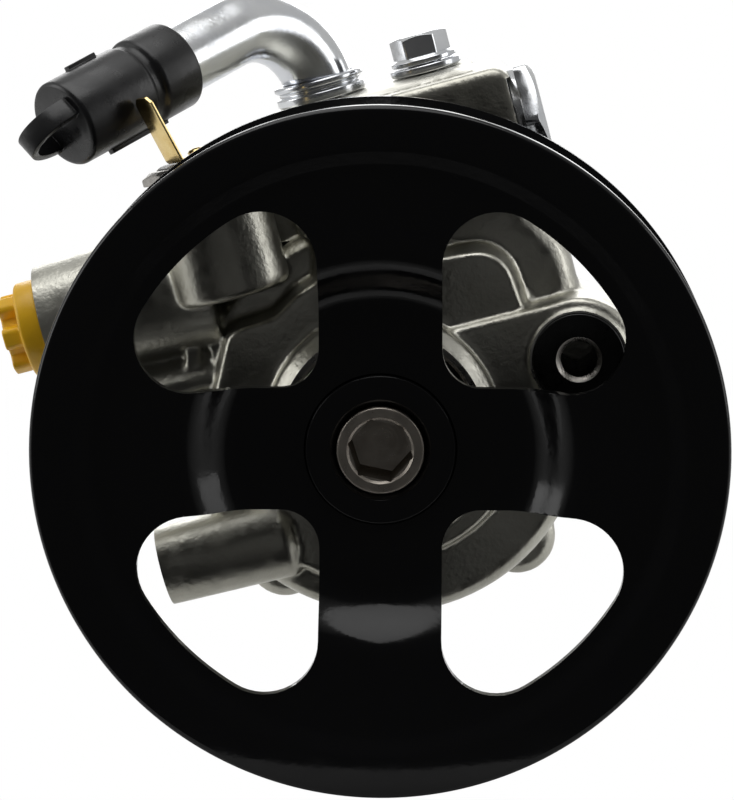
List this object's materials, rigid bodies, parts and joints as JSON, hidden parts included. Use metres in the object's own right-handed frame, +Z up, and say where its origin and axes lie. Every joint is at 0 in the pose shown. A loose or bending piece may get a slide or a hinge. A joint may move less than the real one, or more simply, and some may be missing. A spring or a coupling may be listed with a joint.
{
  "type": "vane pump",
  "caption": "Belt-driven vane pump: dished four-window pulley, cast body with mounting ear, bent suction tube with rubber cap, outlet plug and pressure switch.",
  "frame": {"origin": "centre of the flat pad on the rear cover, on the shaft axis", "axes": "+Y along the shaft away from the pulley, +Z up, +X to the right seen from the pulley; the cast body leans 15 degrees about the shaft"},
  "size_m": [0.1633, 0.0988, 0.1698],
  "materials": {
    "black_coat": "gloss",
    "steel": "turned",
    "dark_steel": "dark",
    "zinc_plate": "zinc plated",
    "cast_aluminium": "as cast",
    "brass": "bright",
    "bronze": "sintered",
    "rubber": "moulded",
    "yellow_plastic": "moulded",
    "grey_plastic": "moulded"
  },
  "bodies": {
    "housing": {"bearing_outer_ring": "steel", "bearing_snap_ring": "dark_steel", "cam_ring": "steel", "cover_bolt_1": "zinc_plate", "cover_bolt_2": "zinc_plate", "cover_bolt_3": "zinc_plate", "cover_bolt_4": "zinc_plate", "cover_seal": "rubber", "dowel_pin_1": "steel", "dowel_pin_2": "steel", "front_housing": "cast_aluminium", "front_side_plate": "steel", "mount_bush": "dark_steel", "oilway_bolt": "zinc_plate", "oilway_washer": "zinc_plate", "rear_bush": "bronze", "rear_cover": "cast_aluminium", "shaft_seal": "rubber", "side_plate_seal": "rubber", "suction_seal": "rubber", "suction_tube": "zinc_plate", "switch_body": "zinc_plate", "switch_insulator": "grey_plastic", "switch_spring": "steel", "switch_terminal": "brass", "terminal_rivet": "brass", "tube_collar": "zinc_plate", "valve_plug": "zinc_plate", "valve_plug_seal": "rubber", "valve_spring": "steel"},
    "shaft": {"pulley": "black_coat", "pulley_hub": "black_coat", "drive_shaft": "steel", "bearing_inner_ring": "steel", "rotor": "steel", "rotor_snap_ring": "dark_steel"},
    "cage": {"bearing_cage": "brass", "bearing_ball_1": "steel", "bearing_ball_2": "steel", "bearing_ball_3": "steel", "bearing_ball_4": "steel", "bearing_ball_5": "steel", "bearing_ball_6": "steel", "bearing_ball_7": "steel", "bearing_ball_8": "steel"},
    "spool": {"valve_spool": "steel"},
    "piston": {"switch_piston": "steel"},
    "cap": {"tube_cap": "rubber"},
    "plug": {"port_plug": "yellow_plastic"},
    "vane1": {"vane_1": "steel"},
    "vane2": {"vane_2": "steel"},
    "vane3": {"vane_3": "steel"},
    "vane4": {"vane_4": "steel"},
    "vane5": {"vane_5": "steel"},
    "vane6": {"vane_6": "steel"},
    "vane7": {"vane_7": "steel"},
    "vane8": {"vane_8": "steel"},
    "vane9": {"vane_9": "steel"},
    "vane10": {"vane_10": "steel"}
  },
  "joints": [
    {"name": "shaft_spin", "type": "hinge", "parent": "housing", "child": "shaft", "pos_m": [0, 0, 0], "axis": [0, 1, 0], "continuous": true},
    {"name": "cage_spin", "type": "hinge", "parent": "housing", "child": "cage", "pos_m": [0, 0, 0], "axis": [0, 1, 0], "continuous": true},
    {"name": "vane_1_slide", "type": "slide", "parent": "shaft", "child": "vane1", "axis": [0.9135, 0, 0.4067], "range_m": [-0.0009, 0.00258]},
    {"name": "vane_2_slide", "type": "slide", "parent": "shaft", "child": "vane2", "axis": [0.5, 0, 0.866], "range_m": [-0.0009, 0.00135]},
    {"name": "vane_3_slide", "type": "slide", "parent": "shaft", "child": "vane3", "axis": [-0.1045, 0, 0.9945], "range_m": [-0.0009, 0.00011]},
    {"name": "vane_4_slide", "type": "slide", "parent": "shaft", "child": "vane4", "axis": [-0.6691, 0, 0.7431], "range_m": [-0.0009, 0.00058]},
    {"name": "vane_5_slide", "type": "slide", "parent": "shaft", "child": "vane5", "axis": [-0.9781, 0, 0.2079], "range_m": [-0.0009, 0.00211]},
    {"name": "vane_6_slide", "type": "slide", "parent": "shaft", "child": "vane6", "axis": [-0.9135, 0, -0.4067], "range_m": [-0.0009, 0.00258]},
    {"name": "vane_7_slide", "type": "slide", "parent": "shaft", "child": "vane7", "axis": [-0.5, 0, -0.866], "range_m": [-0.0009, 0.00135]},
    {"name": "vane_8_slide", "type": "slide", "parent": "shaft", "child": "vane8", "axis": [0.1045, 0, -0.9945], "range_m": [-0.0009, 0.00011]},
    {"name": "vane_9_slide", "type": "slide", "parent": "shaft", "child": "vane9", "axis": [0.6691, 0, -0.7431], "range_m": [-0.0009, 0.00058]},
    {"name": "vane_10_slide", "type": "slide", "parent": "shaft", "child": "vane10", "axis": [0.9781, 0, -0.2079], "range_m": [-0.0009, 0.00211]},
    {"name": "spool_slide", "type": "slide", "parent": "housing", "child": "spool", "axis": [0.9659, 0, 0.2588], "range_m": [-0.005, 0], "stiffness_N_per_m": 8000, "springref_m": 0.004, "deforming": ["valve_spring"]},
    {"name": "piston_slide", "type": "slide", "parent": "housing", "child": "piston", "axis": [-0.2588, 0, 0.9659], "range_m": [0, 0.0008], "stiffness_N_per_m": 3000, "springref_m": -0.001, "deforming": ["switch_spring"]},
    {"name": "cap_pull", "type": "slide", "parent": "housing", "child": "cap", "axis": [-0.6675, -0.6574, -0.3497], "range_m": [0, 0.03]},
    {"name": "plug_pull", "type": "slide", "parent": "housing", "child": "plug", "axis": [-0.9659, 0, -0.2588], "range_m": [0, 0.0105]}
  ],
  "couplings": [
    {"joint": "cage_spin", "follows": "shaft_spin", "ratio": 0.39677}
  ]
}
